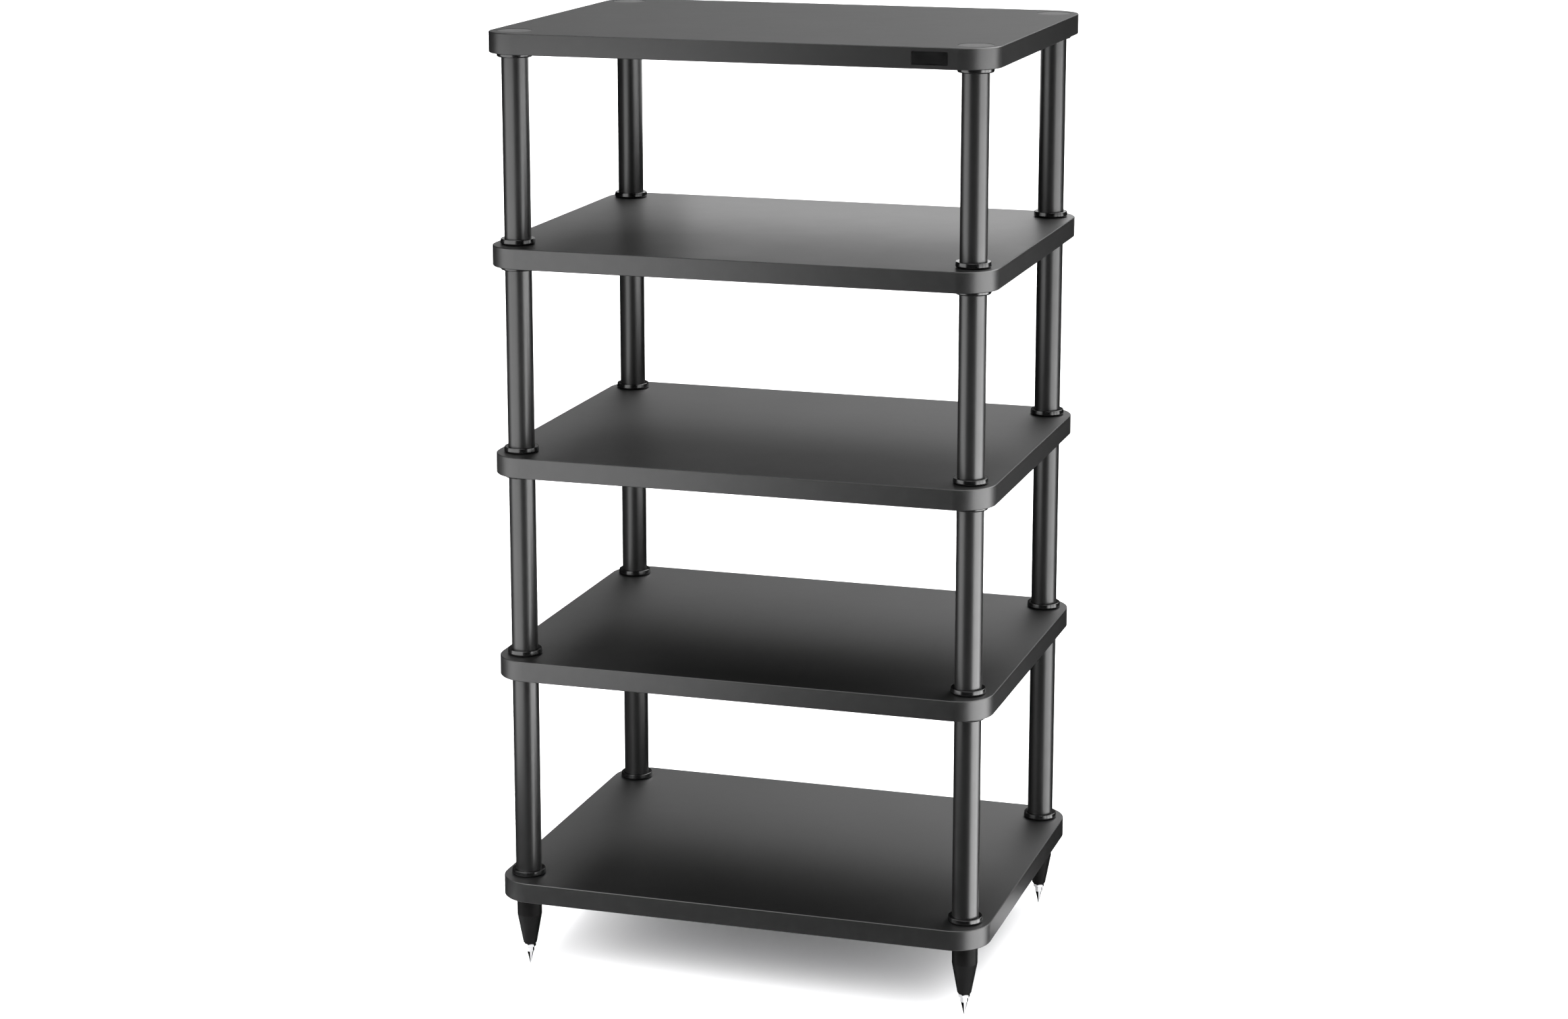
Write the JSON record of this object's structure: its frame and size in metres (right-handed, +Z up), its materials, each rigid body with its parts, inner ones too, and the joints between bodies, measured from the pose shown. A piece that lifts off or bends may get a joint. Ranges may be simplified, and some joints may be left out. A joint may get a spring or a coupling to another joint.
{
  "type": "audio equipment rack",
  "caption": "Free-standing open rack of rounded boards on round pillars, with levelling spikes under the base board.",
  "frame": {"origin": "on the floor, under the middle of the boards", "axes": "+Z up, the front faces -Y, +X to the right seen from the front"},
  "size_m": [0.65, 0.5, 1.221],
  "materials": {
    "board": "satin black lacquer on fibreboard",
    "pillar": "satin black powder coat",
    "collar": "gloss black",
    "cap": "satin black",
    "foot": "fine satin black",
    "chrome": "bright chrome",
    "plate": "gloss black, bare"
  },
  "bodies": {
    "rack": {"base_shelf": "board", "lower_shelf": "board", "middle_shelf": "board", "upper_shelf": "board", "top_shelf": "board", "bay1_pillar_front_left": "pillar", "bay1_collar_front_left": "collar", "bay1_pillar_front_right": "pillar", "bay1_collar_front_right": "collar", "bay1_pillar_rear_left": "pillar", "bay1_collar_rear_left": "collar", "bay1_pillar_rear_right": "pillar", "bay1_collar_rear_right": "collar", "bay2_pillar_front_left": "pillar", "bay2_collar_front_left": "collar", "bay2_pillar_front_right": "pillar", "bay2_collar_front_right": "collar", "bay2_pillar_rear_left": "pillar", "bay2_collar_rear_left": "collar", "bay2_pillar_rear_right": "pillar", "bay2_collar_rear_right": "collar", "bay3_pillar_front_left": "pillar", "bay3_collar_front_left": "collar", "bay3_pillar_front_right": "pillar", "bay3_collar_front_right": "collar", "bay3_pillar_rear_left": "pillar", "bay3_collar_rear_left": "collar", "bay3_pillar_rear_right": "pillar", "bay3_collar_rear_right": "collar", "bay4_pillar_front_left": "pillar", "bay4_collar_front_left": "collar", "bay4_pillar_front_right": "pillar", "bay4_collar_front_right": "collar", "bay4_pillar_rear_left": "pillar", "bay4_collar_rear_left": "collar", "bay4_pillar_rear_right": "pillar", "bay4_collar_rear_right": "collar", "cap_front_left": "cap", "foot_front_left": "foot", "cap_front_right": "cap", "foot_front_right": "foot", "cap_rear_left": "cap", "foot_rear_left": "foot", "cap_rear_right": "cap", "foot_rear_right": "foot", "front_plate": "plate"},
    "nut_front_left": {"lock_nut_front_left": "chrome"},
    "spike_front_left": {"spike_front_left": "chrome"},
    "nut_front_right": {"lock_nut_front_right": "chrome"},
    "spike_front_right": {"spike_front_right": "chrome"},
    "nut_rear_left": {"lock_nut_rear_left": "chrome"},
    "spike_rear_left": {"spike_rear_left": "chrome"},
    "nut_rear_right": {"lock_nut_rear_right": "chrome"},
    "spike_rear_right": {"spike_rear_right": "chrome"}
  },
  "joints": [
    {"name": "spike_height_front_left", "type": "slide", "parent": "rack", "child": "nut_front_left", "axis": [0, 0, -1], "range_m": [0, 0.01]},
    {"name": "spike_turn_front_left", "type": "hinge", "parent": "nut_front_left", "child": "spike_front_left", "pos_m": [-0.293, -0.208, 0.02], "axis": [0, 0, -1], "range_deg": [0, 2880]},
    {"name": "spike_height_front_right", "type": "slide", "parent": "rack", "child": "nut_front_right", "axis": [0, 0, -1], "range_m": [0, 0.01]},
    {"name": "spike_turn_front_right", "type": "hinge", "parent": "nut_front_right", "child": "spike_front_right", "pos_m": [0.293, -0.208, 0.02], "axis": [0, 0, -1], "range_deg": [0, 2880]},
    {"name": "spike_height_rear_left", "type": "slide", "parent": "rack", "child": "nut_rear_left", "axis": [0, 0, -1], "range_m": [0, 0.01]},
    {"name": "spike_turn_rear_left", "type": "hinge", "parent": "nut_rear_left", "child": "spike_rear_left", "pos_m": [-0.293, 0.208, 0.02], "axis": [0, 0, -1], "range_deg": [0, 2880]},
    {"name": "spike_height_rear_right", "type": "slide", "parent": "rack", "child": "nut_rear_right", "axis": [0, 0, -1], "range_m": [0, 0.01]},
    {"name": "spike_turn_rear_right", "type": "hinge", "parent": "nut_rear_right", "child": "spike_rear_right", "pos_m": [0.293, 0.208, 0.02], "axis": [0, 0, -1], "range_deg": [0, 2880]}
  ],
  "couplings": [
    {"joint": "spike_height_front_left", "follows": "spike_turn_front_left", "m_per_rad": 0.00019894},
    {"joint": "spike_height_front_right", "follows": "spike_turn_front_right", "m_per_rad": 0.00019894},
    {"joint": "spike_height_rear_left", "follows": "spike_turn_rear_left", "m_per_rad": 0.00019894},
    {"joint": "spike_height_rear_right", "follows": "spike_turn_rear_right", "m_per_rad": 0.00019894}
  ]
}
